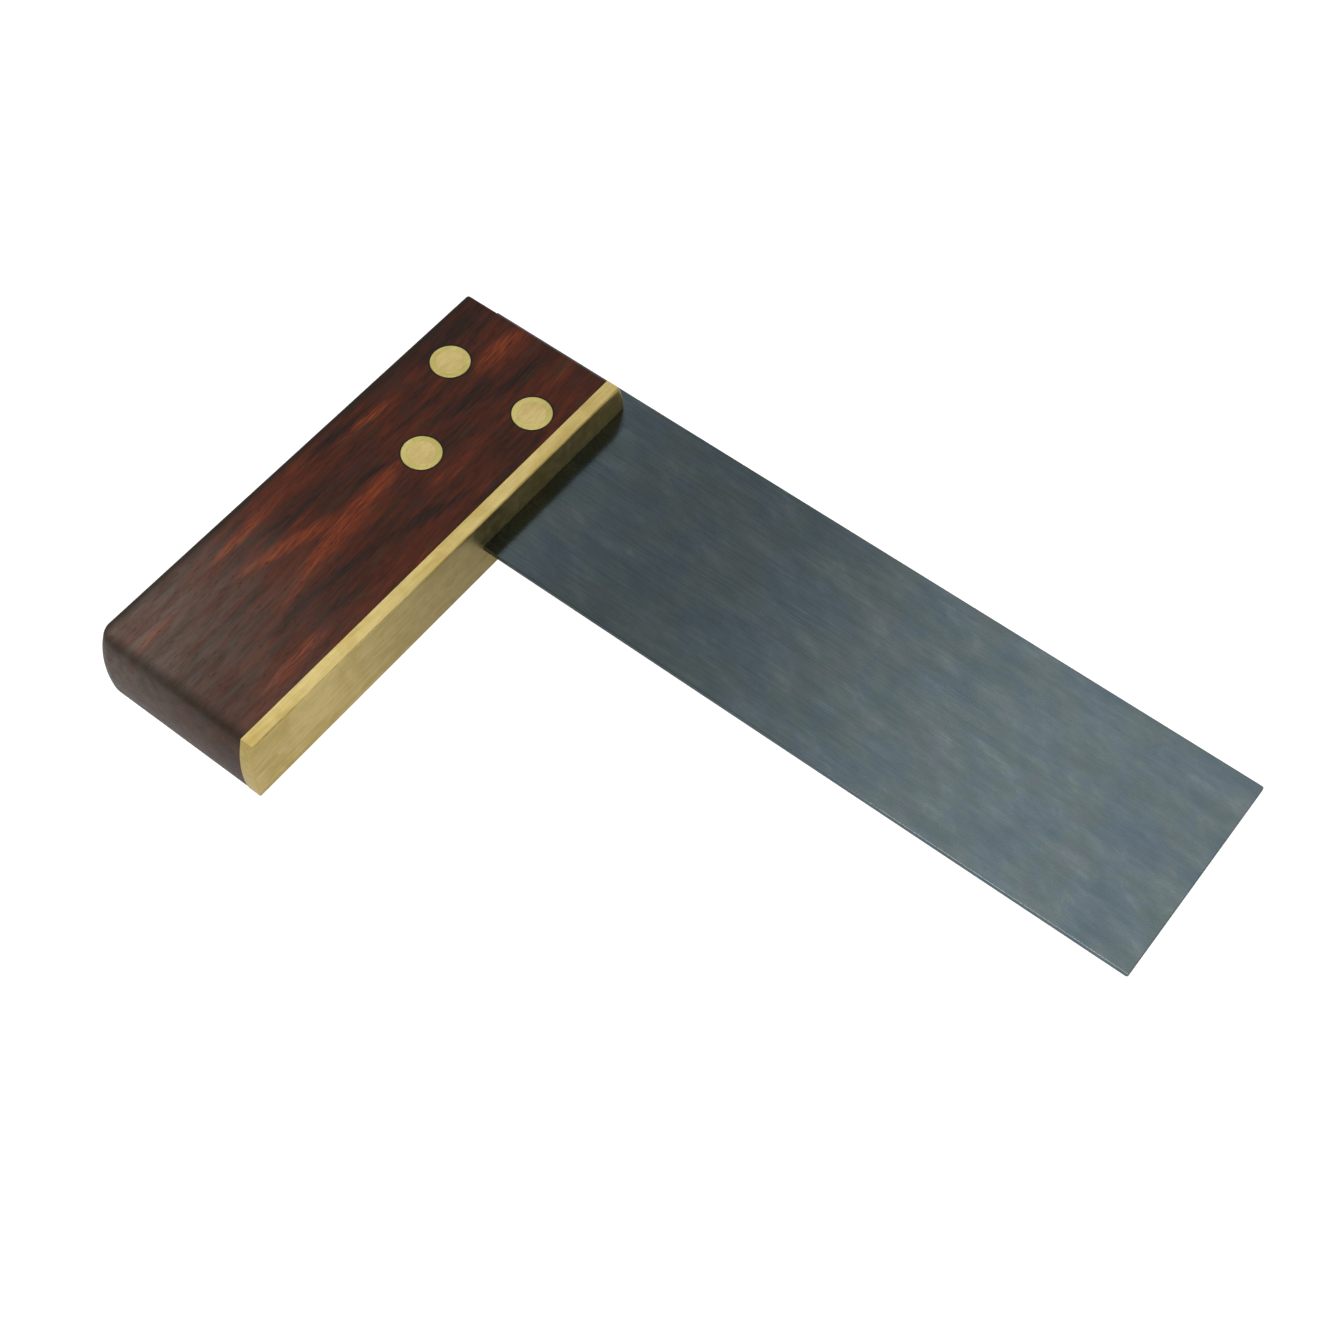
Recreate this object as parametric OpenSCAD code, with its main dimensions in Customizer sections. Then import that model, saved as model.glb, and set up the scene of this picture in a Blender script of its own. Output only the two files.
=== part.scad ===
// Joiner's try square: a rosewood stock faced with brass, and a steel blade
// let into a slot in the stock and held by three flush rivets.
// Millimetres. +X runs along the blade, +Y along the stock towards its blade
// end, and +Z is up with the square lying flat. The origin is the inside
// corner, where the blade's inner edge meets the brass working face, at the
// level of the stock's underside.

/* [Stock] */
// Length of the stock over its crowned ends
stock_length = 111.9; // [90:0.1:160]
// Width of the stock from the working face to its crowned back
stock_width = 42.3; // [34:0.1:60]
// Thickness of the stock
stock_thickness = 16.7; // [13:0.1:24]
// Radius of the crown ground along the ends and the back
crown_radius = 34; // [25:0.1:90]
// Height of the crown's fullest line above the underside
crown_height = 6.1; // [4:0.1:9]
// Radius of the rounded heel corner, at the top face
heel_radius = 3.5; // [3:0.1:9]

/* [Brass face] */
// Thickness of the brass face plate
face_thickness = 3.2; // [2:0.1:5]
// Shank diameter of the pins that hold the face plate
face_pin_d = 1.8; // [1.2:0.1:2.2]
// How much wider a pin's head is than its shank, where it is filed flush
face_pin_flare = 1.2; // [0.6:0.1:2]
// Depth of a pin's countersunk head
face_pin_head_depth = 0.9; // [0.5:0.1:1.5]
// Length of a face plate pin
face_pin_length = 14; // [9:0.5:17]
// Distance from each end of a prong of the face plate to its pin
prong_pin_inset = 7.5; // [5:0.5:11]
// Distance from the face plate's foot to its lowest pin
foot_pin_inset = 8; // [5:0.5:14]
// Distance from the blade's inner edge down to the highest of the lower pins
shoulder_pin_inset = 10; // [6:0.5:14]
// Number of pins below the blade
foot_pin_count = 3; // [2:1:4]

/* [Blade] */
// Length of the blade from the working face to its tip
blade_reach = 150; // [100:0.5:200]
// Width of the blade
blade_width = 48.7; // [40:0.1:60]
// Thickness of the blade
blade_thickness = 1.2; // [0.8:0.1:2]
// Distance that the blade's outer edge stands past the stock's end
blade_overhang = 3.3; // [0:0.1:8]
// Wood left between the end of the slot and the crowned back
slot_back_wall = 4.5; // [3.5:0.1:8]
// Gap at each face of the blade in its slot
slot_side_gap = 0.05; // [0.02:0.01:0.2]
// Gap between the blade's inner end and the end of its slot
slot_end_gap = 0.5; // [0.2:0.1:1]

/* [Rivets] */
// Shank diameter of a rivet pin
rivet_d = 4.8; // [4:0.1:5.8]
// How much wider a rivet pin's peened end is than its shank
rivet_flare = 1.2; // [0.6:0.1:1.6]
// Depth of the peened end
rivet_end_depth = 0.9; // [0.5:0.1:1.2]
// Diameter of a rivet washer
washer_d = 8.4; // [7:0.1:10.5]
// Thickness of a rivet washer
washer_thickness = 1.6; // [1.3:0.1:2.5]
// Distance from the working face to the nearer rivet of the upper pair
rivet_face_distance = 9.85; // [8.2:0.05:12]
// Distance from the crowned back to the other rivet of the upper pair
rivet_back_distance = 10.65; // [9:0.05:12]
// Distance from the stock's end to the upper pair of rivets
rivet_end_distance = 17.9; // [14:0.1:22]
// Distance from the blade's inner edge to the third rivet
rivet_edge_distance = 6; // [5:0.1:8]
// Clearance between a rivet pin and its hole in the blade
rivet_hole_clearance = 0.1; // [0.05:0.05:0.3]

/* [Hidden] */
$fn = 96;
cut_margin = 1;
rivet_count = 3;
prong_count = 2;
pins_per_prong = 2;
face_pin_count = prong_count * pins_per_prong + foot_pin_count;

stock_end_y = blade_width - blade_overhang;
stock_foot_y = stock_end_y - stock_length;
crown_depth = crown_radius - sqrt(pow(crown_radius, 2) - pow(stock_thickness - crown_height, 2));

mid_z = stock_thickness / 2;
blade_z = mid_z - blade_thickness / 2;
slot_height = blade_thickness + 2 * slot_side_gap;
slot_back_x = -stock_width + slot_back_wall;
blade_back_x = slot_back_x + slot_end_gap;

rivet_end_d = rivet_d + rivet_flare;
rivet_pair_y = stock_end_y - rivet_end_distance;
rivet_face_x = -rivet_face_distance;
rivet_back_x = -stock_width + rivet_back_distance;
RIVETS = [
    [rivet_back_x, rivet_pair_y],
    [rivet_face_x, rivet_pair_y],
    [(rivet_back_x + rivet_face_x) / 2, rivet_edge_distance]
];

face_pin_head_d = face_pin_d + face_pin_flare;
prong_height = (stock_thickness - slot_height) / 2;
prong_pin_offset = mid_z - prong_height / 2;
prong_end_y = stock_end_y - crown_depth;
PRONG_PINS = [
    for (side = [-1, 1], y = [prong_pin_inset, prong_end_y - prong_pin_inset])
        [y, mid_z + side * prong_pin_offset]
];
lowest_pin_y = stock_foot_y + foot_pin_inset;
foot_pin_pitch = (-shoulder_pin_inset - lowest_pin_y) / (foot_pin_count - 1);
FOOT_PINS = [
    for (i = [0 : foot_pin_count - 1])
        [lowest_pin_y + i * foot_pin_pitch, mid_z]
];
FACE_PINS = concat(PRONG_PINS, FOOT_PINS);

rosewood = "#4a2119";
face_brass = "#c6b071";
rivet_brass = "#c3b86d";
blued_steel = "#56646c";

// What the crown takes off an edge whose fullest line is at x = 0: the plane
// is seen along the edge, with the thickness upwards and the outside at +x.
module crown_waste() {
    difference() {
        translate([-crown_depth - cut_margin, -cut_margin])
            square([crown_depth + 2 * cut_margin, stock_thickness + 2 * cut_margin]);
        translate([-crown_radius, crown_height])
            circle(crown_radius);
    }
}

// Side view of the stock along X, crowned at both ends.
module end_profile() {
    difference() {
        translate([stock_foot_y, 0])
            square([stock_length, stock_thickness]);
        translate([stock_end_y, 0])
            crown_waste();
        translate([stock_foot_y, 0])
            mirror([1, 0])
                crown_waste();
    }
}

// A slab of the stock's side view, from x1 to x2.
module end_crowned_slab(x1, x2) {
    translate([x1, 0, 0])
        rotate([90, 0, 90])
            linear_extrude(x2 - x1)
                end_profile();
}

// What the crown takes off the long back of the stock.
module back_waste() {
    translate([-stock_width, stock_end_y + cut_margin, 0])
        mirror([1, 0, 0])
            rotate([90, 0, 0])
                linear_extrude(stock_length + 2 * cut_margin)
                    crown_waste();
}

// What rounding takes off the heel, with the crown carried round the corner.
module heel_waste() {
    corner = heel_radius + crown_depth;
    translate([-stock_width + corner, stock_foot_y + corner, 0])
        difference() {
            translate([-corner - cut_margin, -corner - cut_margin, -cut_margin])
                cube([corner + cut_margin, corner + cut_margin, stock_thickness + 2 * cut_margin]);
            rotate_extrude()
                intersection() {
                    square([corner, stock_thickness]);
                    translate([corner - crown_radius, crown_height])
                        circle(crown_radius);
                }
        }
}

// Slot for the blade, open at the working face and at the stock's end.
module blade_slot() {
    translate([slot_back_x, 0, mid_z - slot_height / 2])
        cube([cut_margin - slot_back_x, blade_width + cut_margin, slot_height]);
}

// A rivet hole through the stock, with a seat for a washer at each face.
module rivet_bore() {
    translate([0, 0, -cut_margin])
        cylinder(h = stock_thickness + 2 * cut_margin, d = rivet_d);
    translate([0, 0, -cut_margin])
        cylinder(h = washer_thickness + cut_margin, d = washer_d);
    translate([0, 0, stock_thickness - washer_thickness])
        cylinder(h = washer_thickness + cut_margin, d = washer_d);
}

// Places its children at one face pin, with +Z along the pin towards its head.
module at_face_pin(pin) {
    translate([0, pin[0], pin[1]])
        rotate([0, 90, 0])
            children();
}

// A face plate pin, its head at z = 0 and its shank below.
module headed_pin() {
    translate([0, 0, -face_pin_length])
        cylinder(h = face_pin_length, d = face_pin_d);
    translate([0, 0, -face_pin_head_depth])
        cylinder(h = face_pin_head_depth, d1 = face_pin_d, d2 = face_pin_head_d);
}

module stock() {
    color(rosewood)
        difference() {
            end_crowned_slab(-stock_width, -face_thickness);
            back_waste();
            heel_waste();
            blade_slot();
            for (place = RIVETS)
                translate(place)
                    rivet_bore();
            for (pin = FACE_PINS)
                at_face_pin(pin)
                    headed_pin();
        }
}

module face_plate() {
    color(face_brass)
        difference() {
            end_crowned_slab(-face_thickness, 0);
            blade_slot();
            for (pin = FACE_PINS)
                at_face_pin(pin)
                    headed_pin();
        }
}

module blade() {
    color(blued_steel)
        difference() {
            translate([blade_back_x, 0, blade_z])
                cube([blade_reach - blade_back_x, blade_width, blade_thickness]);
            for (place = RIVETS)
                translate([place[0], place[1], blade_z - cut_margin])
                    cylinder(h = blade_thickness + 2 * cut_margin, d = rivet_d + 2 * rivet_hole_clearance);
        }
}

// A rivet pin, with both ends peened into the washers and filed flush.
module rivet_pin(i) {
    color(rivet_brass)
        translate(RIVETS[i]) {
            cylinder(h = stock_thickness, d = rivet_d);
            cylinder(h = rivet_end_depth, d1 = rivet_end_d, d2 = rivet_d);
            translate([0, 0, stock_thickness - rivet_end_depth])
                cylinder(h = rivet_end_depth, d1 = rivet_d, d2 = rivet_end_d);
        }
}

// A washer lying with its countersunk face up at z = 0.
module washer() {
    color(rivet_brass)
        difference() {
            translate([0, 0, -washer_thickness])
                cylinder(h = washer_thickness, d = washer_d);
            translate([0, 0, -washer_thickness - cut_margin])
                cylinder(h = washer_thickness + 2 * cut_margin, d = rivet_d);
            translate([0, 0, -rivet_end_depth])
                cylinder(h = rivet_end_depth, d1 = rivet_d, d2 = rivet_end_d);
        }
}

module upper_washer(i) {
    translate([RIVETS[i][0], RIVETS[i][1], stock_thickness])
        washer();
}

module lower_washer(i) {
    translate(RIVETS[i])
        mirror([0, 0, 1])
            washer();
}

module face_pin(i) {
    color(face_brass)
        at_face_pin(FACE_PINS[i])
            headed_pin();
}

stock();
face_plate();
blade();
for (i = [0 : rivet_count - 1]) {
    rivet_pin(i);
    upper_washer(i);
    lower_washer(i);
}
for (i = [0 : face_pin_count - 1])
    face_pin(i);
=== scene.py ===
"""A joiner's try square: a rosewood stock faced with brass, and a blued steel blade that
three flush brass rivets hold in the stock. Lengths are in metres, unless a comment says that
they are millimetres."""
import math

import bmesh
import bpy
from mathutils import Matrix, Vector


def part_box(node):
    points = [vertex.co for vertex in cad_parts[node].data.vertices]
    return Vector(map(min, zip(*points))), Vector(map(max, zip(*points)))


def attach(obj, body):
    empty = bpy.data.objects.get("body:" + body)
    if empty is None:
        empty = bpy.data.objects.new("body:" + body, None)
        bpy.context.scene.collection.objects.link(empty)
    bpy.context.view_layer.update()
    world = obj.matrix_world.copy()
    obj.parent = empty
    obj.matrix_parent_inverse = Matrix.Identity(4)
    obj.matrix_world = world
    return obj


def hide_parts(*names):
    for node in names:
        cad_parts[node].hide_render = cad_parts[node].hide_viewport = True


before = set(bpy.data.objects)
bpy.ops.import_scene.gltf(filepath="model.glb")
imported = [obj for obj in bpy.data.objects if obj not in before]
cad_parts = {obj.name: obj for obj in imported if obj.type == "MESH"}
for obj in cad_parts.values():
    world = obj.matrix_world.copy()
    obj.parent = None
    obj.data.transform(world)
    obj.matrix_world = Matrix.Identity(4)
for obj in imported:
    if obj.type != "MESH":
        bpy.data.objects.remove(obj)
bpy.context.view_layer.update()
scene = bpy.context.scene

MM = 0.001

# ---------------------------------------------------------------- sizes of the wood and metal
CROWN_RADIUS = 34 * MM
CROWN_HEIGHT = 6.1 * MM
HEEL_RADIUS = 3.5 * MM
BACK_CORNER_RADIUS = 0.6 * MM
WOOD_ARRIS = 0.9 * MM
WOOD_BELOW_BRASS = 0.02 * MM
BRASS_ARRIS = 0.45 * MM
BLADE_ARRIS = 0.12 * MM
BLADE_CORNER_RADIUS = 0.2 * MM
SLOT_SIDE_GAP = 0.05 * MM
SLOT_END_GAP = 0.5 * MM
RIVET_SHANK_RADIUS = 2.4 * MM
RIVET_END_DEPTH = 0.9 * MM
RIVET_HOLE_GAP = 0.1 * MM
SEAT_GAP = 0.05 * MM
FACE_PIN_SHANK_RADIUS = 0.9 * MM
FACE_PIN_HEAD_DEPTH = 0.9 * MM
# The break left on an edge that is filed flush, halved on a face pin and doubled on a washer.
HAIRLINE = 0.02 * MM

# How far a cutter stands past the faces that it cuts, and how near two points are made one.
CUT_MARGIN = 1 * MM
CUT_WELD = 0.002 * MM
TURNED_WELD = 0.0001 * MM

# How far the map of the blade's grinding leans with height, so that its edges have a width in it.
UV_LEAN = 0.3
ARRIS_STEPS = 5
CROWN_STEPS = 28
HEEL_STEPS = 28
TURNED_SEGMENTS = 72
SHARP_ANGLE = math.radians(32)

stock_low, stock_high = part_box("stock")
plate_low, plate_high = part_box("face_plate")
blade_low, blade_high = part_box("blade")


# ---------------------------------------------------------------- camera
CAMERA_AIM = Vector((45.2, 0.6, 8.6)) * MM
CAMERA_DISTANCE = 435.7 * MM
CAMERA_AZIMUTH = math.radians(36.13)
CAMERA_ELEVATION = math.radians(57.68)
CAMERA_ROLL = math.radians(1.87)
CAMERA_NEAREST = 10 * MM
# The sensor's width and the lens, in millimetres.
CAMERA_SENSOR = 36
CAMERA_LENS = 61.14


def add_camera():
    """The camera looks down on the inside corner from the right."""
    data = bpy.data.cameras.new("camera")
    data.sensor_width = CAMERA_SENSOR
    data.lens = CAMERA_LENS
    data.clip_start = CAMERA_NEAREST
    camera = bpy.data.objects.new("camera", data)
    level = math.cos(CAMERA_ELEVATION)
    back = Vector((
        math.sin(CAMERA_AZIMUTH) * level,
        -math.cos(CAMERA_AZIMUTH) * level,
        math.sin(CAMERA_ELEVATION),
    ))
    camera.rotation_mode = "QUATERNION"
    upright = back.to_track_quat("Z", "Y").to_matrix()
    rolled = upright @ Matrix.Rotation(CAMERA_ROLL, 3, "Z")
    camera.rotation_quaternion = rolled.to_quaternion()
    camera.location = CAMERA_AIM + back * CAMERA_DISTANCE
    scene.collection.objects.link(camera)
    scene.camera = camera


# ---------------------------------------------------------------- node helpers
def feed(tree, socket, value):
    """Gives a socket its value, or links it from an output."""
    if isinstance(value, bpy.types.NodeSocket):
        tree.links.new(value, socket)
    else:
        socket.default_value = value


def add(tree, kind, inputs=None, **settings):
    """Adds a node with its settings, and feeds the sockets that inputs names."""
    node = tree.nodes.new(kind)
    for key, value in settings.items():
        setattr(node, key, value)
    for key, value in (inputs or {}).items():
        feed(tree, node.inputs[key], value)
    return node


def linear(colour):
    """An sRGB hex colour as linear red, green, blue and alpha."""
    parts = [int(colour[i:i + 2], 16) / 255 for i in (1, 3, 5)]
    return [c / 12.92 if c <= 0.04045 else ((c + 0.055) / 1.055) ** 2.4 for c in parts] + [1.0]


def maths(tree, operation, *values):
    """The result of a Math node."""
    return add(tree, "ShaderNodeMath", dict(enumerate(values)), operation=operation).outputs[0]


def vector_maths(tree, operation, first, second, output="Vector"):
    """The result of a Vector Math node."""
    node = add(tree, "ShaderNodeVectorMath", {0: first, 1: second}, operation=operation)
    return node.outputs[output]


def weighed(tree, *pairs):
    """The sum of several fields, each times its weight."""
    total = maths(tree, "MULTIPLY", *pairs[0])
    for field, weight in pairs[1:]:
        total = maths(tree, "MULTIPLY_ADD", field, weight, total)
    return total


def strongest(tree, fields):
    """The greatest of several fields at each point."""
    most = fields[0]
    for field in fields[1:]:
        most = maths(tree, "MAXIMUM", most, field)
    return most


def stretched(tree, stretch, turn=(0, 0, 0), origin=(0, 0, 0)):
    """Object coordinates in millimetres from origin, turned, then drawn out along each axis."""
    return add(tree, "ShaderNodeMapping", {
        "Vector": add(tree, "ShaderNodeTexCoord").outputs["Object"],
        "Location": [o * MM for o in origin],
        "Rotation": turn,
        "Scale": [s * MM for s in stretch],
    }, vector_type="TEXTURE").outputs["Vector"]


def in_millimetres(tree):
    """X, Y and Z of a point on the tool, in millimetres."""
    return add(tree, "ShaderNodeSeparateXYZ", {"Vector": stretched(tree, (1, 1, 1))}).outputs


def noise(tree, vector, scale, detail=3, roughness=0.5, distortion=0, output="Fac"):
    """Noise with scale features to the millimetre."""
    return add(tree, "ShaderNodeTexNoise", {
        "Vector": vector, "Scale": scale, "Detail": detail,
        "Roughness": roughness, "Distortion": distortion,
    }).outputs[output]


def remap(tree, value, low, high, to_low=0.0, to_high=1.0):
    """Goes smoothly from to_low to to_high as value goes from low to high, and holds past both."""
    return add(tree, "ShaderNodeMapRange", {
        "Value": value, "From Min": low, "From Max": high, "To Min": to_low, "To Max": to_high,
    }, interpolation_type="SMOOTHSTEP").outputs["Result"]


def ramp(tree, value, stops):
    """A colour ramp through (position, hex colour) stops."""
    node = add(tree, "ShaderNodeValToRGB", {"Fac": value})
    elements = node.color_ramp.elements
    while len(elements) < len(stops):
        elements.new(0.5)
    for element, (position, colour) in zip(elements, stops):
        element.position = position
        element.color = linear(colour)
    return node.outputs["Color"]


def mix(tree, share, first, second):
    """The colour first, with a share of second blended in."""
    node = add(tree, "ShaderNodeMix", {"Factor": share}, data_type="RGBA")
    colours = [socket for socket in node.inputs if socket.type == "RGBA"]
    for socket, colour in zip(colours, (first, second)):
        feed(tree, socket, colour)
    return next(socket for socket in node.outputs if socket.type == "RGBA")


def layered(tree, colour, layers):
    """A colour under thin layers. Each is a field, the span of its values, how much of the layer
    shows at either end of that span, and the layer's own colour."""
    for field, span, shares, shade in layers:
        colour = mix(tree, remap(tree, field, *span, *shares), colour, linear(shade))
    return colour


def new_material(name, **fixed):
    """A material with one Principled shader, with its even values set, then its tree and shader."""
    material = bpy.data.materials.new(name)
    material.use_nodes = True
    tree = material.node_tree
    shader = tree.nodes["Principled BSDF"]
    for socket, value in fixed.items():
        shader.inputs[socket.replace("_", " ")].default_value = value
    return material, tree, shader


def finish_with(tree, shader, colour, roughness, height, depth):
    """Links the colour, the roughness and a bump of the given depth to the shader."""
    bump = add(tree, "ShaderNodeBump", {"Height": height, "Distance": depth, "Strength": 1.0})
    tree.links.new(colour, shader.inputs["Base Color"])
    tree.links.new(roughness, shader.inputs["Roughness"])
    tree.links.new(bump.outputs["Normal"], shader.inputs["Normal"])


# ---------------------------------------------------------------- finishes
# The span in which most values of a noise lie.
USUAL_SPAN = (0.3, 0.7)

# How far the grain leans from the stock's length, and how many millimetres it wanders sideways.
GRAIN_SLANT = math.radians(3)
GRAIN_WAVE = 6.0

# The figure's stronger streaks: X and Y of the middle, half width and half length in
# millimetres, and how many degrees the streak leans from the stock's length towards +X.
RED_STREAKS = [
    (-26, 36, 2.2, 7, 1), (-21, -15, 2.3, 19, -7), (-26, -27, 1.8, 12, 13),
    (-19, -29, 0.9, 10, -12), (-35, -30, 1.3, 13, -5), (-32, -59, 1.1, 6, -2),
    (-35, 6, 1.1, 9, 6), (-7, -46, 1.4, 9, -2),
]
BLACK_STREAKS = [
    (-18, 33, 1.8, 11, 8), (-30, -19, 1.2, 16, -1), (-31, -25, 1.0, 14, 10),
    (-10, -6, 1.3, 10, 14), (-25, -3, 0.8, 7, 12), (-36, 34, 3.6, 14, 4),
    (-14, -30, 0.8, 14, 4), (-23, -46, 0.8, 10, 3), (-28, 14, 0.9, 10, 5),
    (-22, 25, 2.0, 10, 6), (-37, -2, 1.2, 14, 2),
]
# A streak is full this near its middle and gone this far out, as shares of its half size. The
# grain's bands move that edge by the raggedness, and the last two are how strong it is.
STREAK_CORE = 0.2
STREAK_EDGE = 1.4
STREAK_RAGGEDNESS = 1.4
RED_SHARE = 0.68
BLACK_SHARE = 0.85

# Painted shade on the wood's rims, standing in for the dark reflections on the rounded back and
# foot arrises and the shadow line round the discs: where it is darkest and where it ends, in
# millimetres inside the back arris, inside the foot arris and outside a disc, and how dark it is,
# from 0 to 1.
BACK_RIM_SHADE = (0.5, 2.4, 0.75)
FOOT_RIM_SHADE = (0.3, 3.0, 0.65)
DISC_RIM_SHADE = (0.15, 0.7, 0.85)
# How much of that is left on the crown, a millimetre past the back and the foot arris.
PAST_BACK = 0.3
PAST_FOOT = 0.35

# The wood is greyed towards the heel, partly by handling and dust and partly as a painted sheen,
# over these millimetres of Y, up to a share that grows from the brass to the back, over these
# millimetres of X, and is uneven.
WEAR_AND_SHEEN_Y = (-16.0, -66.0)
WEAR_AND_SHEEN_SHARE = 0.33
WEAR_AND_SHEEN_X = (-4.0, -40.0)
WEAR_AND_SHEEN_ACROSS = (0.5, 1.4)
WEAR_AND_SHEEN_UNEVENNESS = (0.65, 1.3)

# A pore opens where its noise passes these values. It is darker and rougher than the wood.
PORE_SPAN = (0.64, 0.72)
PORE_SHARE = 0.5
PORE_ROUGHNESS = 0.2
WOOD_ROUGHNESS = (0.32, 0.4)
WOOD_BUMP = 0.02 * MM

# The brass's working face is darkened towards the inside corner with painted shade, standing in for
# its darker reflections near the blade, over these millimetres of Y below and above it. That is on
# the working face alone, and it fades over these millimetres of X.
BELOW_CORNER_Y = (-52.0, -6.0)
BELOW_CORNER_SHARES = (0.0, 0.5)
ABOVE_CORNER_Y = (-1.0, 13.0)
ABOVE_CORNER_SHARES = (1.0, 0.15)
ON_FACE_X = (-0.12, -0.02)
# How much the strokes and the tarnish add to the brass's roughness.
STROKE_ROUGHNESS = 0.14
TARNISH_ROUGHNESS = 0.1
BRASS_BUMP = 0.004 * MM

# How the clouds in the blade's oxide lean, and the millimetres of X over which painted shade on the
# blade goes from its darkest, near the stock, to its palest, towards the tip. The shade stands in
# for the blade's darker reflection near the stock.
CLOUD_SLANT = math.radians(-20)
BLADE_SHADE_X = (25.0, 115.0)
BLADE_SHADE_SHARES = (0.52, 0.0)
STEEL_ROUGHNESS = (0.24, 0.29)
STEEL_BUMP = 0.0005 * MM


def streak(tree, place, wobble, x, y, half_width, half_length, lean):
    """How much of one streak a point holds, from 0 to 1, with a ragged edge."""
    along = maths(tree, "SUBTRACT", place["Y"], y)
    across = maths(tree, "MULTIPLY_ADD", along, -math.tan(math.radians(lean)), place["X"])
    across = maths(tree, "DIVIDE", maths(tree, "SUBTRACT", across, x), half_width)
    along = maths(tree, "DIVIDE", along, half_length)
    square = maths(tree, "MULTIPLY_ADD", across, across, maths(tree, "MULTIPLY", along, along))
    far = maths(tree, "ADD", maths(tree, "SQRT", square), wobble)
    return remap(tree, far, STREAK_CORE, STREAK_EDGE, 1.0, 0.0)


def painted_rim_shade(tree, place):
    """Painted shade on the wood: along its back and foot arrises, and round the discs."""
    def rim(field, edge, darkest, gone, depth):
        """As dark as depth this far from an edge, and fading to nothing that far from it."""
        return remap(tree, field, edge + darkest, edge + gone, depth, 0.0)

    inset = crown_inset(stock_high.z)
    rims = []
    for field, fullest, sizes, past in (
        (place["X"], stock_low.x, BACK_RIM_SHADE, PAST_BACK),
        (place["Y"], stock_low.y, FOOT_RIM_SHADE, PAST_FOOT),
    ):
        arris = (fullest + inset) / MM
        left = remap(tree, field, arris - 1.0, arris, past, 1.0)
        rims.append(maths(tree, "MULTIPLY", rim(field, arris, *sizes), left))
    level = add(tree, "ShaderNodeCombineXYZ", {"X": place["X"], "Y": place["Y"]}).outputs[0]
    for centre, _ in rivet_places():
        reach = vector_maths(tree, "DISTANCE", level, centre / MM, "Value")
        rims.append(rim(reach, radius_of("upper_washer_1", "x") / MM, *DISC_RIM_SHADE))
    return strongest(tree, rims)


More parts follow.
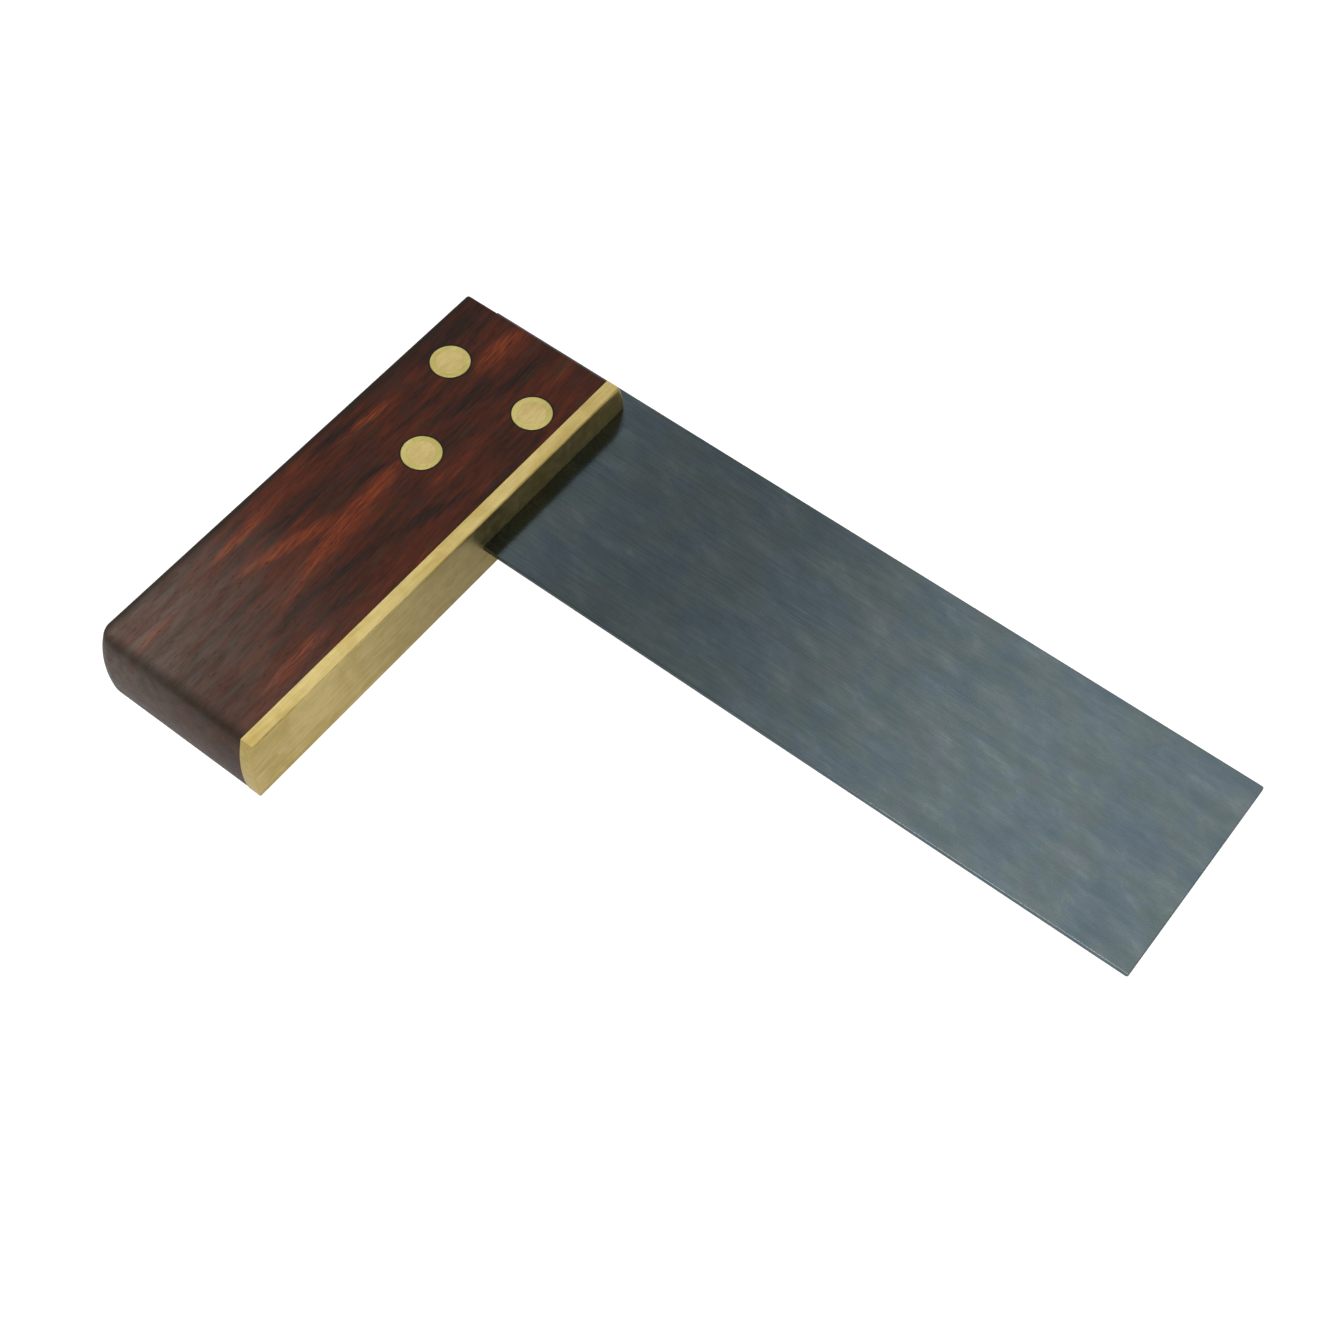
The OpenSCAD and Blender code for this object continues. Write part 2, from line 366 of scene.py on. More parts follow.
def rosewood():
    """Oiled rosewood: dark, red-brown and near-black wavy figure along the stock, with pores."""
    material, tree, shader = new_material("rosewood", IOR=1.5, Specular_IOR_Level=0.11)
    flat = stretched(tree, (1, 1, 1), (0, 0, GRAIN_SLANT))
    slow = stretched(tree, (1, 3, 1), (0, 0, GRAIN_SLANT))
    wander = noise(tree, slow, 0.03, detail=1, output="Color")
    wander = vector_maths(tree, "SUBTRACT", wander, (0.5, 0.5, 0.5))
    wander = vector_maths(tree, "MULTIPLY", wander, (GRAIN_WAVE, 0, 0))
    wavy = vector_maths(tree, "ADD", flat, wander)

    def drawn_out(length):
        """The wavy coordinates, with features this many times longer than wide."""
        return vector_maths(tree, "MULTIPLY", wavy, (1, 1 / length, 1))

    figure = noise(tree, drawn_out(6), 0.22, detail=4, roughness=0.62, distortion=0.2)
    bands = noise(tree, drawn_out(9), 0.8, detail=4, roughness=0.62, distortion=0.15)
    hairs = noise(tree, drawn_out(12), 2.6, detail=3, roughness=0.55)
    tint = noise(tree, drawn_out(4), 0.35, detail=4, roughness=0.6)
    haze = noise(tree, drawn_out(5), 0.5, detail=4, roughness=0.65)
    pores = remap(tree, noise(tree, drawn_out(12), 5.5, detail=1), *PORE_SPAN)

    tone = weighed(tree, (figure, 0.46), (bands, 0.36), (hairs, 0.18))
    colour = ramp(tree, tone, [
        (0.34, "#19100c"), (0.44, "#2a150d"), (0.51, "#3a190d"),
        (0.59, "#491f10"), (0.68, "#5e2a12"),
    ])
    colour = layered(tree, colour, [
        (tint, (0.54, 0.66), (0.0, 0.6), "#2e2318"),
        (tint, (0.34, 0.46), (0.6, 0.0), "#301c19"),
    ])

    place = in_millimetres(tree)
    wobble = maths(tree, "MULTIPLY_ADD", bands, STREAK_RAGGEDNESS, -STREAK_RAGGEDNESS / 2)
    red = strongest(tree, [streak(tree, place, wobble, *row) for row in RED_STREAKS])
    black = strongest(tree, [streak(tree, place, wobble, *row) for row in BLACK_STREAKS])
    ember = ramp(tree, hairs, [(0.35, "#4c1f11"), (0.5, "#6a2c14"), (0.65, "#813a17")])
    soot = ramp(tree, hairs, [(0.35, "#120d0c"), (0.65, "#291812")])
    colour = mix(tree, maths(tree, "MULTIPLY", red, RED_SHARE), colour, ember)
    colour = mix(tree, maths(tree, "MULTIPLY", black, BLACK_SHARE), colour, soot)

    # Partly real wear and partly a painted sheen: the wood greys towards the heel and the back.
    wear_and_sheen = remap(tree, place["Y"], *WEAR_AND_SHEEN_Y, 0.0, WEAR_AND_SHEEN_SHARE)
    wear_and_sheen = maths(tree, "MULTIPLY", wear_and_sheen, remap(tree, place["X"], *WEAR_AND_SHEEN_X, *WEAR_AND_SHEEN_ACROSS))
    wear_and_sheen = maths(tree, "MULTIPLY", wear_and_sheen, remap(tree, haze, 0.34, 0.66, *WEAR_AND_SHEEN_UNEVENNESS))
    colour = mix(tree, wear_and_sheen, colour, linear("#6b6259"))
    colour = mix(tree, maths(tree, "MULTIPLY", pores, PORE_SHARE), colour, linear("#120a08"))
    # Painted shade: the rims along the back and foot arrises and round the discs are darkened.
    colour = mix(tree, painted_rim_shade(tree, place), colour, linear("#191711"))

    roughness = remap(tree, bands, *USUAL_SPAN, *WOOD_ROUGHNESS)
    roughness = maths(tree, "MULTIPLY_ADD", pores, PORE_ROUGHNESS, roughness)
    height = weighed(tree, (hairs, 0.35), (pores, -1.0))
    finish_with(tree, shader, colour, roughness, height, WOOD_BUMP)
    return material


def ground_brass(name, pale, deep, stroke, seed, dullness=0.3):
    """Brass ground flat along Y, each stroke so many times longer than wide, and left a little
    duller, unevenly, by handling, with painted shade on its working face towards the inside corner.
    dullness is its least roughness."""
    material, tree, shader = new_material(name, Metallic=1.0)
    origin = (seed, seed, seed)
    scratch = stretched(tree, (1, stroke, 1), origin=origin)
    flat = stretched(tree, (1, 1, 1), origin=origin)
    lines = noise(tree, scratch, 6.0, detail=4, roughness=0.7)
    broad = noise(tree, scratch, 1.1, detail=3, roughness=0.6)
    tarnish = noise(tree, flat, 0.11, detail=4, roughness=0.6, distortion=0.4)
    cloud = noise(tree, flat, 0.6, detail=4, roughness=0.65)

    tone = weighed(tree, (tarnish, 0.6), (broad, 0.4))
    colour = layered(tree, linear(pale), [
        (tone, (0.38, 0.64), (0.0, 1.0), deep),
        (lines, (0.3, 0.75), (0.0, 0.22), "#8f7c45"),
    ])
    place = in_millimetres(tree)
    # Painted shade: the working face darkens towards the inside corner, below and above the blade.
    below = remap(tree, place["Y"], *BELOW_CORNER_Y, *BELOW_CORNER_SHARES)
    above = remap(tree, place["Y"], *ABOVE_CORNER_Y, *ABOVE_CORNER_SHARES)
    on_face = remap(tree, place["X"], *ON_FACE_X)
    painted_corner_shade = maths(tree, "MULTIPLY", maths(tree, "MULTIPLY", below, above), on_face)
    colour = mix(tree, painted_corner_shade, colour, linear("#5a4a22"))

    ground = remap(tree, lines, *USUAL_SPAN, dullness, dullness + STROKE_ROUGHNESS)
    clouded = remap(tree, cloud, 0.35, 0.7, 0.0, TARNISH_ROUGHNESS)
    roughness = maths(tree, "ADD", ground, clouded)
    height = weighed(tree, (lines, 1.0), (broad, 0.5))
    finish_with(tree, shader, colour, roughness, height, BRASS_BUMP)
    return material


def blued_steel():
    """Spring steel, ground lengthways and left with a thin blue-grey oxide."""
    material, tree, shader = new_material("blued_steel", Metallic=1.0, Anisotropic=0.9)
    tangent = add(tree, "ShaderNodeTangent", direction_type="UV_MAP", uv_map="grind")
    tree.links.new(tangent.outputs["Tangent"], shader.inputs["Tangent"])
    lines = noise(tree, stretched(tree, (30, 1, 1)), 2.6, detail=5, roughness=0.62)
    broad = noise(tree, stretched(tree, (7, 1, 1)), 0.4, detail=4, roughness=0.6)
    hue = noise(tree, stretched(tree, (1, 1, 1)), 0.09, detail=5, roughness=0.65)
    slanted = stretched(tree, (2, 1, 1), (0, 0, CLOUD_SLANT))
    cloud = noise(tree, slanted, 0.22, detail=5, roughness=0.65)

    colour = ramp(tree, hue, [
        (0.34, "#64747d"), (0.46, "#687880"), (0.54, "#6c7a79"), (0.66, "#727a80"),
    ])
    colour = layered(tree, colour, [
        (broad, (0.35, 0.68), (0.0, 0.45), "#7b868a"),
        (cloud, (0.36, 0.64), (0.25, 0.0), "#4a565b"),
        (cloud, (0.56, 0.72), (0.0, 0.3), "#8d9698"),
        (lines, (0.35, 0.7), (0.0, 0.16), "#434e53"),
        # Painted shade: the blade darker near the stock and paler towards the tip.
        (in_millimetres(tree)["X"], BLADE_SHADE_X, BLADE_SHADE_SHARES, "#0c1112"),
    ])
    roughness = remap(tree, lines, *USUAL_SPAN, *STEEL_ROUGHNESS)
    finish_with(tree, shader, colour, roughness, lines, STEEL_BUMP)
    return material


# ---------------------------------------------------------------- solids
def lofted(name, rings):
    """A closed solid through rings of matching points, each counter-clockwise, with flat ends."""
    count = len(rings[0])
    last = (len(rings) - 1) * count
    sides = [
        (r + i, r + (i + 1) % count, r + count + (i + 1) % count, r + count + i)
        for r in range(0, last, count)
        for i in range(count)
    ]
    ends = [tuple(reversed(range(count))), tuple(range(last, last + count))]
    mesh = bpy.data.meshes.new(name)
    mesh.from_pydata([point for ring in rings for point in ring], [], sides + ends)
    piece = bpy.data.objects.new(name, mesh)
    scene.collection.objects.link(piece)
    return piece


def softened(start, corner, end):
    """Points of a small rounding between start and end, on the two sides of a corner."""
    shares = [i / ARRIS_STEPS for i in range(ARRIS_STEPS + 1)]
    return [start * (1 - u) ** 2 + corner * 2 * u * (1 - u) + end * u ** 2 for u in shares]


def arc(centre, radius, first, last, steps):
    """Points of an arc in the plane, from one angle in degrees to another."""
    angles = [math.radians(first + (last - first) * i / steps) for i in range(steps + 1)]
    return [(centre[0] + radius * math.cos(a), centre[1] + radius * math.sin(a)) for a in angles]


def between(low, high, steps):
    """Evenly spaced values from low to high, both included."""
    return [low + (high - low) * i / steps for i in range(steps + 1)]


def crown_inset(height):
    """How far the crowned surface stands inside its fullest line."""
    return CROWN_RADIUS - math.sqrt(CROWN_RADIUS ** 2 - (height - CROWN_HEIGHT) ** 2)


def settle(piece):
    """Turns a piece's modifiers into plain mesh."""
    graph = bpy.context.evaluated_depsgraph_get()
    piece.data = bpy.data.meshes.new_from_object(piece.evaluated_get(graph))
    piece.modifiers.clear()


def cut(piece, *cutters):
    """Cuts the cutters out of a piece, welds the cut's seams and removes the cutters."""
    for cutter in cutters:
        modifier = piece.modifiers.new("cut", "BOOLEAN")
        modifier.operation = "DIFFERENCE"
        modifier.solver = "EXACT"
        modifier.object = cutter
    settle(piece)
    mesh = bmesh.new()
    mesh.from_mesh(piece.data)
    bmesh.ops.remove_doubles(mesh, verts=mesh.verts, dist=CUT_WELD)
    mesh.to_mesh(piece.data)
    mesh.free()
    for cutter in cutters:
        bpy.data.objects.remove(cutter)


def dress(piece, material, slot, *nodes):
    """Gives a piece its finish and soft shading and its body, and hides the nodes it stands for.
    slot is not used.
    """
    mesh = piece.data
    mesh.materials.clear()
    mesh.materials.append(material)
    mesh.polygons.foreach_set("material_index", [0] * len(mesh.polygons))
    mesh.polygons.foreach_set("use_smooth", [True] * len(mesh.polygons))
    mesh.set_sharp_from_angle(angle=SHARP_ANGLE)
    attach(piece, "root")
    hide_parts(*nodes)


def lay_across(piece, name):
    """A UV map whose first axis lies across the blade, square to its grinding strokes."""
    mesh = piece.data
    layer = mesh.uv_layers.new(name=name)
    for loop, uv in zip(mesh.loops, layer.uv):
        x, y, z = mesh.vertices[loop.vertex_index].co
        uv.vector = (y + UV_LEAN * z, x + UV_LEAN * z)


def block(name, low, high):
    """A plain rectangular block between two corners."""
    ring = [(low[0], low[1]), (high[0], low[1]), (high[0], high[1]), (low[0], high[1])]
    return lofted(name, [[(x, y, z) for x, y in ring] for z in (low[2], high[2])])


# ---------------------------------------------------------------- turned pieces, by geometry nodes
def turning_tree(name, profile, sizes):
    """A node tree that turns a profile on every point, along the point's own axis. profile lists
    (radius, height) as names of sizes, up the outside, and ends on the axis or where it began."""
    tree = bpy.data.node_groups.new(name, "GeometryNodeTree")
    panel = tree.interface
    panel.new_socket("Geometry", in_out="INPUT", socket_type="NodeSocketGeometry")
    panel.new_socket("Geometry", in_out="OUTPUT", socket_type="NodeSocketGeometry")
    panel.new_socket("Segments", in_out="INPUT", socket_type="NodeSocketInt")
    panel.new_socket("Material", in_out="INPUT", socket_type="NodeSocketMaterial")
    for size in sizes:
        panel.new_socket(size, in_out="INPUT", socket_type="NodeSocketFloat")
    given = add(tree, "NodeGroupInput").outputs

    columns = maths(tree, "ADD", given["Segments"], 1)
    grid = add(tree, "GeometryNodeMeshGrid", {
        "Size X": 1.0, "Size Y": 1.0, "Vertices X": columns, "Vertices Y": len(profile),
    })
    position = add(tree, "GeometryNodeInputPosition").outputs[0]
    on_grid = add(tree, "ShaderNodeSeparateXYZ", {"Vector": position}).outputs
    row = maths(tree, "MULTIPLY", maths(tree, "ADD", on_grid["Y"], 0.5), len(profile) - 1)
    row = maths(tree, "ROUND", row)
    angle = maths(tree, "MULTIPLY", maths(tree, "ADD", on_grid["X"], 0.5), math.tau)
    radius = chosen(tree, row, [given[r] for r, _ in profile])
    height = chosen(tree, row, [given[h] for _, h in profile])
    turned_place = add(tree, "ShaderNodeCombineXYZ", {
        "X": maths(tree, "MULTIPLY", radius, maths(tree, "COSINE", angle)),
        "Y": maths(tree, "MULTIPLY", radius, maths(tree, "SINE", angle)),
        "Z": height,
    })
    turned = add(tree, "GeometryNodeSetPosition", {
        "Geometry": grid.outputs["Mesh"], "Position": turned_place.outputs[0],
    })
    closed = add(tree, "GeometryNodeMergeByDistance", {
        "Geometry": turned.outputs[0], "Distance": TURNED_WELD,
    })
    axis = add(tree, "GeometryNodeInputNamedAttribute", {"Name": "axis"}, data_type="FLOAT_VECTOR")
    aligned = add(tree, "FunctionNodeAlignRotationToVector", {
        "Vector": axis.outputs["Attribute"],
    }, axis="Z")
    placed = add(tree, "GeometryNodeInstanceOnPoints", {
        "Points": given["Geometry"], "Instance": closed.outputs[0], "Rotation": aligned.outputs[0],
    })
    real = add(tree, "GeometryNodeRealizeInstances", {"Geometry": placed.outputs[0]})
    finished = add(tree, "GeometryNodeSetMaterial", {
        "Geometry": real.outputs[0], "Material": given["Material"],
    })
    add(tree, "NodeGroupOutput", {"Geometry": finished.outputs[0]})
    return tree


def chosen(tree, row, values):
    """The value that stands at a row of the list."""
    switch = add(tree, "GeometryNodeIndexSwitch", data_type="FLOAT")
    while len(switch.index_switch_items) < len(values):
        switch.index_switch_items.new()
    tree.links.new(row, switch.inputs["Index"])
    for socket, value in zip(switch.inputs[1:], values):
        tree.links.new(value, socket)
    return switch.outputs[0]


def turned_pieces(name, profile, sizes, places, material=None):
    """One mesh, with the same turned shape on every (point, axis) of places."""
    mesh = bpy.data.meshes.new(name)
    mesh.from_pydata([point for point, _ in places], [], [])
    axes = mesh.attributes.new("axis", "FLOAT_VECTOR", "POINT")
    for item, (_, direction) in zip(axes.data, places):
        item.vector = direction
    piece = bpy.data.objects.new(name, mesh)
    scene.collection.objects.link(piece)
    tree = turning_tree(name, profile, sizes)
    modifier = piece.modifiers.new("turned", "NODES")
    modifier.node_group = tree
    values = dict(sizes, Segments=TURNED_SEGMENTS, Material=material)
    for item in tree.interface.items_tree:
        if item.in_out == "INPUT" and item.name in values:
            modifier[item.identifier] = values[item.name]
    settle(piece)
    return piece


def box_middle(node):
    """The middle of a node's box."""
    low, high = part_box(node)
    return (low + high) / 2


def radius_of(node, axis):
    """The greatest radius of a round node, half its width along an axis square to its own."""
    low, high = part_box(node)
    return (getattr(high, axis) - getattr(low, axis)) / 2


def named(prefix):
    """The frame's nodes whose names are the prefix and a number."""
    return sorted(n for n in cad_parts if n.startswith(prefix) and n[len(prefix):].isdigit())


# ---------------------------------------------------------------- pieces
def build_stock(material):
    """The wood, crowned at both ends and along the back, with a rounded heel."""
    low, high = stock_low.z + WOOD_BELOW_BRASS, stock_high.z - WOOD_BELOW_BRASS
    inward = Vector((WOOD_ARRIS, 0, 0))
    border = Vector((WOOD_ARRIS, 0, WOOD_ARRIS))

    def on_crown(height):
        """Inset from the fullest line, height, and inset from the joint with the brass."""
        return Vector((crown_inset(height), height, 0))

    side = [on_crown(z) for z in between(low + WOOD_ARRIS, high - WOOD_ARRIS, CROWN_STEPS)][1:-1]
    profile = [on_crown(low) + inward + border]
    profile += softened(on_crown(low) + inward, on_crown(low), on_crown(low + WOOD_ARRIS))
    profile += side
    profile += softened(on_crown(high - WOOD_ARRIS), on_crown(high), on_crown(high) + inward)
    profile += [on_crown(high) + inward + border]
    heel = HEEL_RADIUS + crown_inset(stock_high.z)
    heel_centre = (stock_low.x + heel, stock_low.y + heel)
    rings = []
    for inset, height, joint_inset in profile:
        foot, end, back = stock_low.y + inset, stock_high.y - inset, stock_low.x + inset
        joint = stock_high.x - joint_inset
        corner_centre = (back + BACK_CORNER_RADIUS, end - BACK_CORNER_RADIUS)
        outline = [(joint, foot), (joint, end)]
        outline += arc(corner_centre, BACK_CORNER_RADIUS, 90, 180, ARRIS_STEPS)
        outline += arc(heel_centre, heel - inset, 180, 270, HEEL_STEPS)
        rings.append([(x, y, height) for x, y in outline])
    stock = lofted("rosewood_stock", rings)
    slot = blade_slot("slot", blade_low.x - SLOT_END_GAP, stock_high.x + CUT_MARGIN)
    cut(stock, slot, rivet_bores("bores"), face_pin_holes("holes"))
    dress(stock, material, "rosewood", "stock")


def blade_slot(name, x1, x2):
    """What the saw takes out for the blade from x1 to x2, open at the stock's end."""
    low = (x1, blade_low.y, blade_low.z - SLOT_SIDE_GAP)
    high = (x2, blade_high.y + CUT_MARGIN, blade_high.z + SLOT_SIDE_GAP)
    return block(name, low, high)


def rivet_places():
    """The foot of each rivet, with its axis upwards."""
    return [(Vector((*box_middle(n).xy, 0)), (0, 0, 1)) for n in named("rivet_pin_")]


def rivet_bores(name):
    """What the drill takes out of the stock for each rivet, with a washer's seat at each face."""
    washer_low, washer_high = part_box("upper_washer_1")
    sizes = {
        "Axis": 0.0,
        "Seat radius": radius_of("upper_washer_1", "x") + SEAT_GAP,
        "Bore radius": RIVET_SHANK_RADIUS,
        "Below": -CUT_MARGIN,
        "Lower seat": washer_high.z - washer_low.z,
        "Upper seat": washer_low.z,
        "Above": stock_high.z + CUT_MARGIN,
    }
    profile = [
        ("Axis", "Below"), ("Seat radius", "Below"), ("Seat radius", "Lower seat"),
        ("Bore radius", "Lower seat"), ("Bore radius", "Upper seat"),
        ("Seat radius", "Upper seat"), ("Seat radius", "Above"), ("Axis", "Above"),
    ]
    return turned_pieces(name, profile, sizes, rivet_places())


def build_face_plate(material):
    """The brass strip on the working edge, slotted for the blade."""
    low, high = plate_low, plate_high
    fillet = softened(
        Vector((0, high.x - BRASS_ARRIS)), Vector((0, high.x)), Vector((BRASS_ARRIS, high.x)))
    profile = [Vector((0, low.x))] + fillet + [Vector((2 * BRASS_ARRIS, high.x))]
    rings = []
    for inset, depth in profile:
        levels = between(low.z + inset, high.z - inset, CROWN_STEPS)
        end = [(depth, high.y - crown_inset(z) - inset, z) for z in levels]
        foot = [(depth, low.y + crown_inset(z) + inset, z) for z in reversed(levels)]
        rings.append(end + foot)
    plate = lofted("brass_face_plate", rings)
    cut(plate, blade_slot("slot", low.x - CUT_MARGIN, high.x + CUT_MARGIN), face_pin_holes("holes"))
    dress(plate, material, "face_brass", "face_plate")


def face_pin_holes(name):
    """The drilled and countersunk hole for each face pin, run on past the working face."""
    low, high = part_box("face_pin_1")
    head_radius = radius_of("face_pin_1", "y")
    flare = (head_radius - FACE_PIN_SHANK_RADIUS) / FACE_PIN_HEAD_DEPTH
    sizes = {
        "Axis": 0.0,
        "Shank radius": FACE_PIN_SHANK_RADIUS,
        "Mouth radius": head_radius + flare * CUT_MARGIN,
        "Point": low.x - high.x,
        "Neck": -FACE_PIN_HEAD_DEPTH,
        "Above": CUT_MARGIN,
    }
    profile = [
        ("Axis", "Point"), ("Shank radius", "Point"), ("Shank radius", "Neck"),
        ("Mouth radius", "Above"), ("Axis", "Above"),
    ]
    return turned_pieces(name, profile, sizes, face_pin_places())


def face_pin_places():
    """The middle of each face pin's head, with its axis out of the working face."""
    places = []
    for node in named("face_pin_"):
        middle = box_middle(node)
        places.append((Vector((plate_high.x, middle.y, middle.z)), (1, 0, 0)))
    return places


def build_blade(material):
    """The blade, its arrises just broken, with clearance holes for the rivets."""
    low, high = blade_low, blade_high
    profile = [Vector((2 * BLADE_ARRIS, low.z))]
    profile += softened(
        Vector((BLADE_ARRIS, low.z)), Vector((0, low.z)), Vector((0, low.z + BLADE_ARRIS)))
    profile += softened(
        Vector((0, high.z - BLADE_ARRIS)), Vector((0, high.z)), Vector((BLADE_ARRIS, high.z)))
    profile += [Vector((2 * BLADE_ARRIS, high.z))]
    corner = BLADE_CORNER_RADIUS + 2 * BLADE_ARRIS
    middle = (low + high) / 2
    reach = (high - low) / 2
    rings = []
    for inset, height in profile:
        outline = []
        for quarter, (sx, sy) in enumerate(((1, 1), (-1, 1), (-1, -1), (1, -1))):
            centre = (middle.x + sx * (reach.x - corner), middle.y + sy * (reach.y - corner))
            outline += arc(centre, corner - inset, 90 * quarter, 90 * quarter + 90, ARRIS_STEPS)
        rings.append([(x, y, height) for x, y in outline])
    blade = lofted("steel_blade", rings)
    sizes = {
        "Axis": 0.0,
        "Hole radius": RIVET_SHANK_RADIUS + RIVET_HOLE_GAP,
        "Below": low.z - CUT_MARGIN,
        "Above": high.z + CUT_MARGIN,
    }
    profile = [
        ("Axis", "Below"), ("Hole radius", "Below"), ("Hole radius", "Above"), ("Axis", "Above"),
    ]
    cut(blade, turned_pieces("holes", profile, sizes, rivet_places()))
    lay_across(blade, "grind")
    dress(blade, material, "blued_steel", "blade")


def build_rivet_pins(material):
    """The rivet pins, peened out at both ends and filed flush."""
    low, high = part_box("rivet_pin_1")
    end_radius = radius_of("rivet_pin_1", "x")
    sizes = {
        "Axis": 0.0,
        "Shank radius": RIVET_SHANK_RADIUS,
        "End radius": end_radius,
        "Broken radius": end_radius - HAIRLINE,
        "Lower face": low.z,
        "Lower edge": low.z + HAIRLINE,
        "Lower neck": low.z + RIVET_END_DEPTH,
        "Upper neck": high.z - RIVET_END_DEPTH,
        "Upper edge": high.z - HAIRLINE,
        "Upper face": high.z,
    }
    profile = [
        ("Axis", "Lower face"), ("Broken radius", "Lower face"), ("End radius", "Lower edge"),
        ("Shank radius", "Lower neck"), ("Shank radius", "Upper neck"),
        ("End radius", "Upper edge"), ("Broken radius", "Upper face"), ("Axis", "Upper face"),
    ]
    pins = turned_pieces("brass_rivet_pins", profile, sizes, rivet_places(), material)
    dress(pins, material, "rivet_brass", *named("rivet_pin_"))


def build_washers(material):
    """The discs that the pins are peened into, let in flush at both faces of the wood."""
    low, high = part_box("upper_washer_1")
    radius = radius_of("upper_washer_1", "x")
    end_radius = radius_of("rivet_pin_1", "x")
    sizes = {
        "Rim radius": radius,
        "Broken radius": radius - 2 * HAIRLINE,
        "Mouth radius": end_radius + HAIRLINE,
        "Cone radius": end_radius,
        "Hole radius": RIVET_SHANK_RADIUS,
        "Seat": low.z - high.z,
        "Neck": -RIVET_END_DEPTH,
        "Edge": -2 * HAIRLINE,
        "Face": 0.0,
    }
    profile = [
        ("Hole radius", "Seat"), ("Rim radius", "Seat"), ("Rim radius", "Edge"),
        ("Broken radius", "Face"), ("Mouth radius", "Face"), ("Cone radius", "Edge"),
        ("Hole radius", "Neck"), ("Hole radius", "Seat"),
    ]
    places = []
    for foot, _ in rivet_places():
        places.append((Vector((*foot.xy, stock_high.z)), (0, 0, 1)))
        places.append((Vector((*foot.xy, stock_low.z)), (0, 0, -1)))
    washers = turned_pieces("brass_washers", profile, sizes, places, material)
    dress(washers, material, "rivet_brass", *named("upper_washer_"), *named("lower_washer_"))


def build_face_pins(material):
    """The pins that hold the face plate, their heads filed flush with it."""
    low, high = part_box("face_pin_1")
    head_radius = radius_of("face_pin_1", "y")
    sizes = {
        "Axis": 0.0,
        "Shank radius": FACE_PIN_SHANK_RADIUS,
        "Head radius": head_radius,
        "Broken radius": head_radius - HAIRLINE / 2,
        "Point": low.x - high.x,
        "Neck": -FACE_PIN_HEAD_DEPTH,
        "Edge": -HAIRLINE / 2,
        "Face": 0.0,
    }
    profile = [
        ("Axis", "Point"), ("Shank radius", "Point"), ("Shank radius", "Neck"),
        ("Head radius", "Edge"), ("Broken radius", "Face"), ("Axis", "Face"),
    ]
    pins = turned_pieces("brass_face_pins", profile, sizes, face_pin_places(), material)
    dress(pins, material, "face_brass", *named("face_pin_"))


# ---------------------------------------------------------------- setting
# Lengths in metres. The floor lies just under the tool.
FLOOR_REACH = 3.0
FLOOR_BOTTOM = -0.02
FLOOR_TOP = -0.1 * MM
FLOOR_GREY = (0.3, 0.3, 0.3, 1)
FLOOR_GLOW_COLOUR = (1, 1, 0.995, 1)
# How strongly the floor glows on the tool, and to the camera.
FLOOR_GLOW = 0.32
FLOOR_GLOW_SEEN = 0.9

WHITE = (1, 1, 1, 1)
# The soft patch in the room: where it is, how wide it is, and how strong it and the room are.
PATCH_DIRECTION = Vector((-0.25, 0.6, 1)).normalized()
PATCH_EDGE = math.cos(math.radians(32))
PATCH_STRENGTH = 1.0
ROOM_STRENGTH = 0.04
# The walls fade out between these heights, from 0 at the horizon to 1 overhead.
WALL_HEIGHTS = (0.2, 0.72)
WALL_STRENGTH = 0.7
BACKDROP_STRENGTH = 1.0


def add_floor():
    """A plain pale floor that glows evenly, more strongly to the camera than on the tool."""
    low = (-FLOOR_REACH, -FLOOR_REACH, FLOOR_BOTTOM)
    high = (FLOOR_REACH, FLOOR_REACH, FLOOR_TOP)
    floor = block("floor", low, high)
    material, tree, shader = new_material(
        "pale_floor", Base_Color=FLOOR_GREY, Roughness=0.9, Specular_IOR_Level=0.0,
        Emission_Color=FLOOR_GLOW_COLOUR)
    seen = add(tree, "ShaderNodeLightPath").outputs["Is Camera Ray"]
    glow = remap(tree, seen, 0.0, 1.0, FLOOR_GLOW, FLOOR_GLOW_SEEN)
    tree.links.new(glow, shader.inputs["Emission Strength"])
    floor.data.materials.append(material)


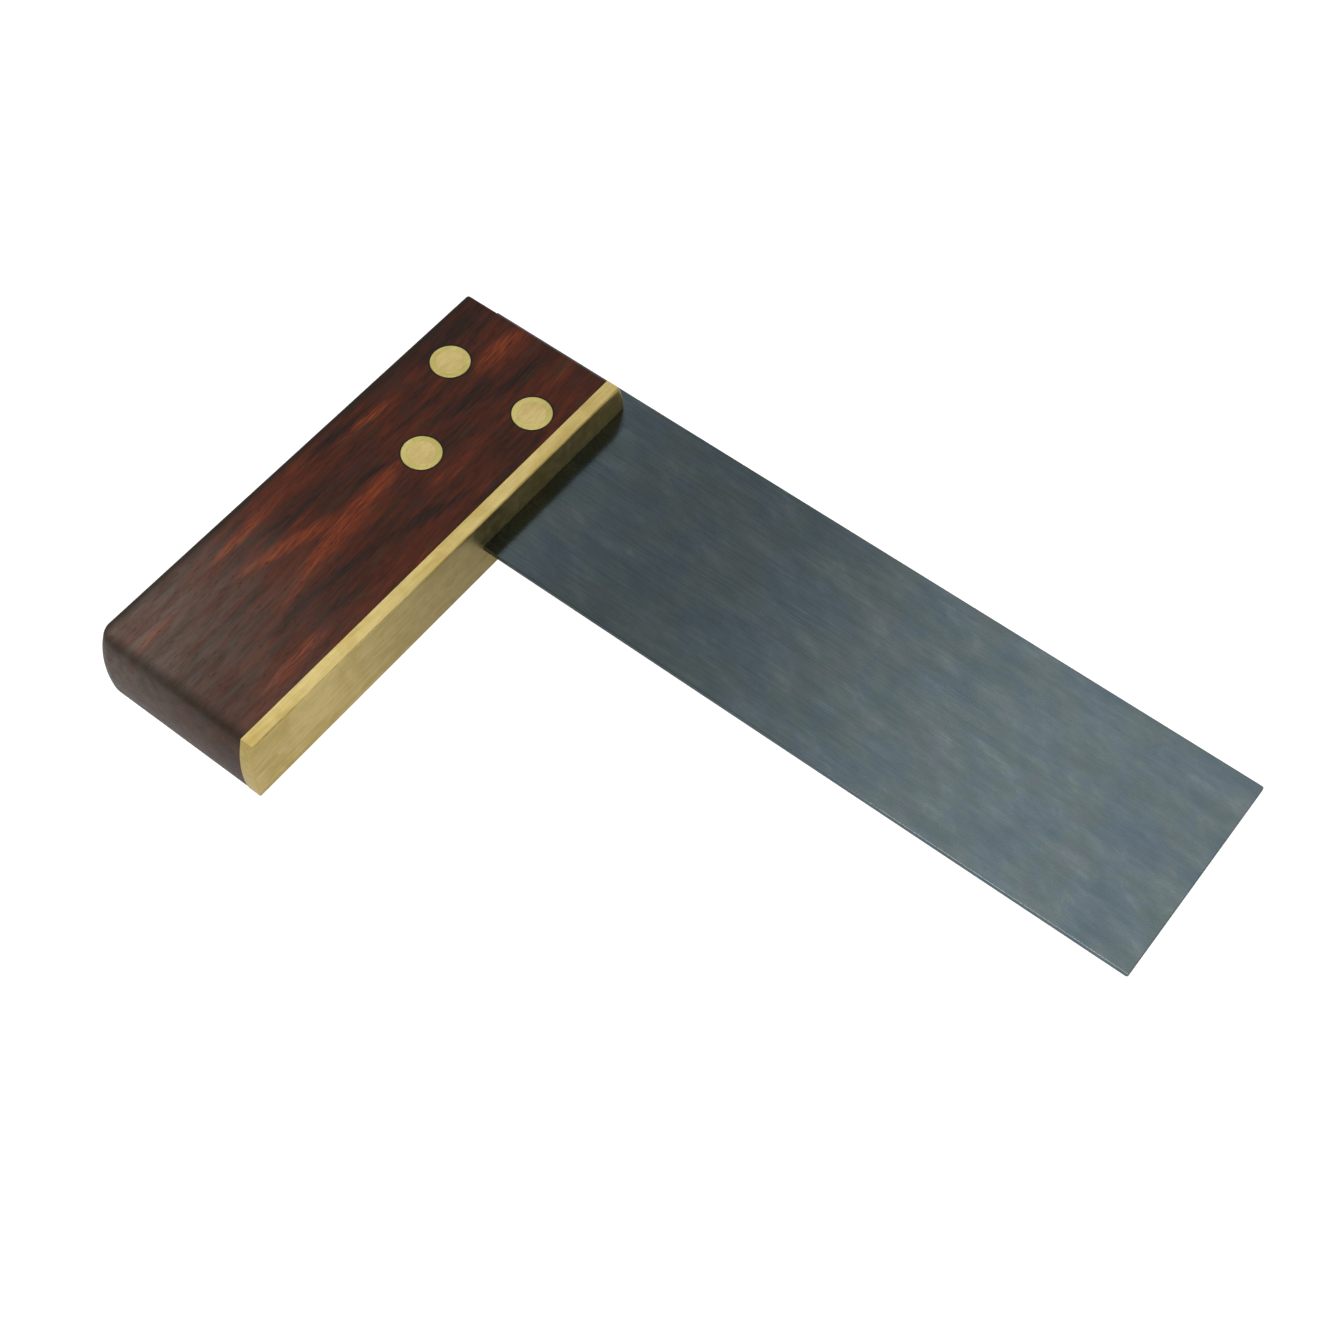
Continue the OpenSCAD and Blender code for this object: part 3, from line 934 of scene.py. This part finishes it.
def add_softbox(name, place, width, depth, watts):
    """A rectangular soft light that hangs level at place and shines straight down."""
    data = bpy.data.lights.new(name, "AREA")
    data.shape = "RECTANGLE"
    data.size = width
    data.size_y = depth
    data.energy = watts
    light = bpy.data.objects.new(name, data)
    light.location = place
    scene.collection.objects.link(light)


def add_room():
    """A dim room with pale walls and a soft patch high behind the tool, and for the camera a
    white backdrop."""
    world = bpy.data.worlds.new("room")
    world.use_nodes = True
    scene.world = world
    tree = world.node_tree
    tree.nodes.clear()
    direction = add(tree, "ShaderNodeTexCoord").outputs["Generated"]
    nearness = vector_maths(tree, "DOT_PRODUCT", direction, PATCH_DIRECTION, "Value")
    patch = remap(tree, nearness, PATCH_EDGE, 1.0, ROOM_STRENGTH, PATCH_STRENGTH)
    height = add(tree, "ShaderNodeSeparateXYZ", {"Vector": direction}).outputs["Z"]
    walls = remap(tree, height, *WALL_HEIGHTS, WALL_STRENGTH, 0.0)
    lit = maths(tree, "ADD", patch, walls)
    room = add(tree, "ShaderNodeBackground", {"Color": WHITE, "Strength": lit})
    backdrop = add(tree, "ShaderNodeBackground", {"Color": WHITE, "Strength": BACKDROP_STRENGTH})
    path = add(tree, "ShaderNodeLightPath")
    seen = add(tree, "ShaderNodeMixShader", {
        0: path.outputs["Is Camera Ray"], 1: room.outputs[0], 2: backdrop.outputs[0],
    })
    add(tree, "ShaderNodeOutputWorld", {"Surface": seen.outputs[0]})


add_camera()
build_stock(rosewood())
build_face_plate(ground_brass("face_brass", "#d9c484", "#c4ac66", stroke=30, seed=3))
build_blade(blued_steel())
build_rivet_pins(
    ground_brass("rivet_brass_pins", "#dcc98c", "#cdb677", stroke=12, seed=17, dullness=0.5))
build_washers(ground_brass("rivet_brass", "#d8cc86", "#c8bc72", stroke=12, seed=41, dullness=0.5))
build_face_pins(ground_brass("face_brass_pins", "#d6c188", "#c2aa6c", stroke=30, seed=9))
add_floor()
add_room()
add_softbox("front_right", (0.45, -0.7, 1.0), width=1.2, depth=1.0, watts=25)
add_softbox("left", (-1.0, 0.15, 1.0), width=1.1, depth=0.7, watts=3.4)

scene.view_settings.view_transform = "Standard"
scene.view_settings.look = "None"
